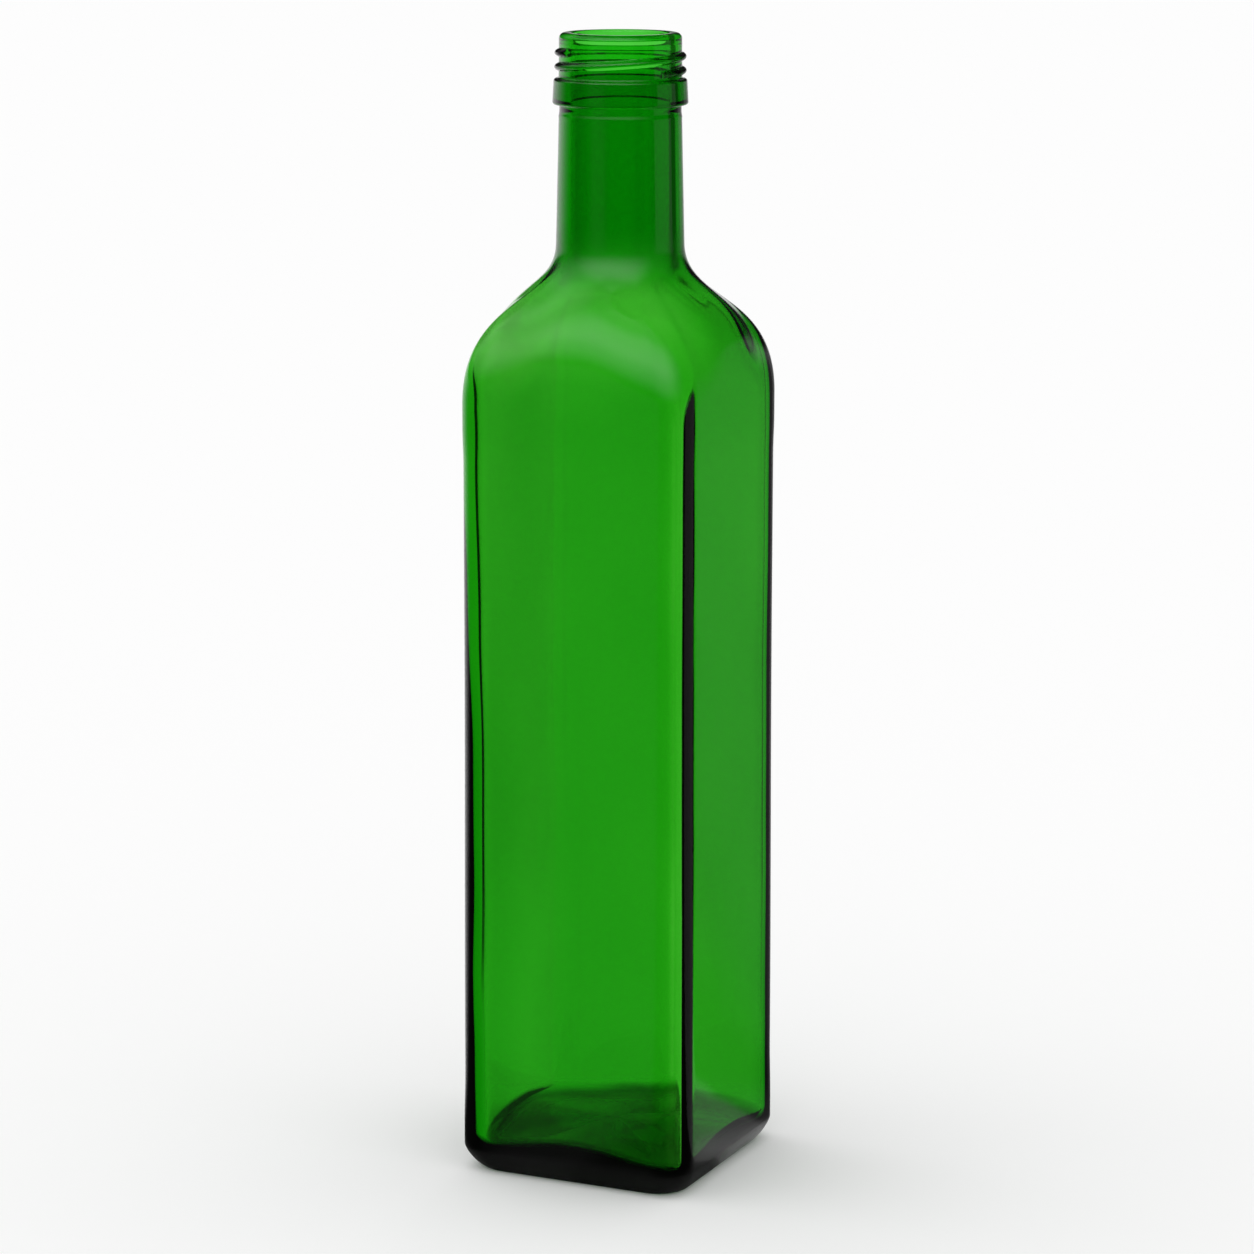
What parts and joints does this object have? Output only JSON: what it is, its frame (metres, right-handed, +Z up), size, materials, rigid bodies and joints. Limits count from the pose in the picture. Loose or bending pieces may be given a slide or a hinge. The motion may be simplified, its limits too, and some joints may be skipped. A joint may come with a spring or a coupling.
{
  "type": "glass oil bottle",
  "caption": "Tall square-bodied green glass oil bottle with arched shoulders, a round neck and an open screw finish.",
  "frame": {"origin": "centre of the plane that the bottle stands on", "axes": "+Z up the bottle to its mouth; the four flat sides face -X, +X, -Y and +Y"},
  "size_m": [0.0584, 0.0584, 0.265],
  "materials": {
    "glass": "clear green, fire-polished"
  },
  "bodies": {
    "root": {"bottle": "glass"}
  },
  "joints": []
}
